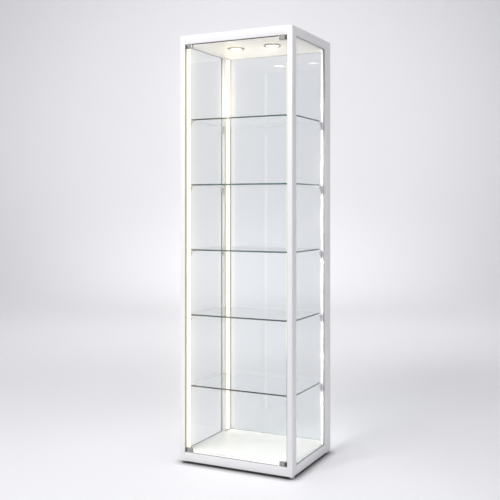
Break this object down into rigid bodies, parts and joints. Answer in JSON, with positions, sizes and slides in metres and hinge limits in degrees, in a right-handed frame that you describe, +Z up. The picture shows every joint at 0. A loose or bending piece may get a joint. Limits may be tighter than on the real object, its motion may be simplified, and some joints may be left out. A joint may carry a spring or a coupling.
{
  "type": "glass display tower",
  "caption": "Tall free-standing glass display tower: white aluminium frame, pivoting frameless glass door, glass shelves, lit corner posts and ceiling downlights on levelling feet.",
  "frame": {"origin": "on the floor under the middle of the case, in the plane of the feet", "axes": "+X to the right as one faces the door, -Y to the front, +Z up"},
  "size_m": [0.5, 0.41, 1.75],
  "materials": {
    "white_frame": "satin white powder coat on aluminium",
    "white_panel": "matt white laminate sheet",
    "clear_glass": "clear float glass, polished edges",
    "grey_rubber": "matt extruded rubber",
    "clear_rubber": "soft clear pad",
    "bare_aluminium": "mill finish",
    "steel": "zinc plated",
    "satin_clamp": "satin nickel",
    "opal": "opal diffuser",
    "lamp_lens": "frosted lens",
    "lamp_ring": "bright plated",
    "led_tape": "white circuit tape",
    "white_plastic": "moulded",
    "white_cap": "moulded, matched to the frame",
    "black_plastic": "moulded",
    "foot_grey": "moulded grey"
  },
  "bodies": {
    "case": {"back_gasket": "grey_rubber", "back_left_opal_cover": "opal", "back_left_post": "white_frame", "back_pane": "clear_glass", "back_right_opal_cover": "opal", "back_right_post": "white_frame", "bottom_back_rail": "white_frame", "bottom_front_rail": "white_frame", "bottom_left_rail": "white_frame", "bottom_right_rail": "white_frame", "catch_magnets": "steel", "ceiling_panel": "white_panel", "ceiling_spacers": "bare_aluminium", "corner_cleats": "bare_aluminium", "door_pivots": "steel", "downlight_cans": "bare_aluminium", "downlight_lenses": "lamp_lens", "downlight_rings": "lamp_ring", "dust_seals": "grey_rubber", "floor_brackets": "bare_aluminium", "floor_panel": "white_panel", "foot_inserts": "white_plastic", "frame_screws": "steel", "front_left_opal_cover": "opal", "front_left_post": "white_frame", "front_right_opal_cover": "opal", "front_right_post": "white_frame", "internal_cables": "black_plastic", "led_driver": "white_plastic", "led_tapes": "led_tape", "left_gasket": "grey_rubber", "left_pane": "clear_glass", "light_channels": "bare_aluminium", "post_caps": "white_cap", "power_inlet": "black_plastic", "right_gasket": "grey_rubber", "right_pane": "clear_glass", "shelf_1": "clear_glass", "shelf_2": "clear_glass", "shelf_3": "clear_glass", "shelf_4": "clear_glass", "shelf_5": "clear_glass", "shelf_brackets": "steel", "shelf_pads": "clear_rubber", "top_back_rail": "white_frame", "top_cover": "white_frame", "top_front_rail": "white_frame", "top_left_rail": "white_frame", "top_right_rail": "white_frame"},
    "door": {"door_glass": "clear_glass", "upper_hinge_clamp": "satin_clamp", "lower_hinge_clamp": "satin_clamp", "upper_catch_clip": "satin_clamp", "lower_catch_clip": "satin_clamp", "clamp_screws": "steel"},
    "front_left_foot": {"front_left_foot": "foot_grey"},
    "front_right_foot": {"front_right_foot": "foot_grey"},
    "back_left_foot": {"back_left_foot": "foot_grey"},
    "back_right_foot": {"back_right_foot": "foot_grey"}
  },
  "joints": [
    {"name": "door_swing", "type": "hinge", "parent": "case", "child": "door", "pos_m": [-0.219, -0.1985, 0.88], "axis": [0, 0, -1], "range_deg": [0, 100]},
    {"name": "front_left_foot_screw", "type": "slide", "parent": "case", "child": "front_left_foot", "axis": [0, 0, -1], "range_m": [0, 0.015]},
    {"name": "front_right_foot_screw", "type": "slide", "parent": "case", "child": "front_right_foot", "axis": [0, 0, -1], "range_m": [0, 0.015]},
    {"name": "back_left_foot_screw", "type": "slide", "parent": "case", "child": "back_left_foot", "axis": [0, 0, -1], "range_m": [0, 0.015]},
    {"name": "back_right_foot_screw", "type": "slide", "parent": "case", "child": "back_right_foot", "axis": [0, 0, -1], "range_m": [0, 0.015]}
  ]
}
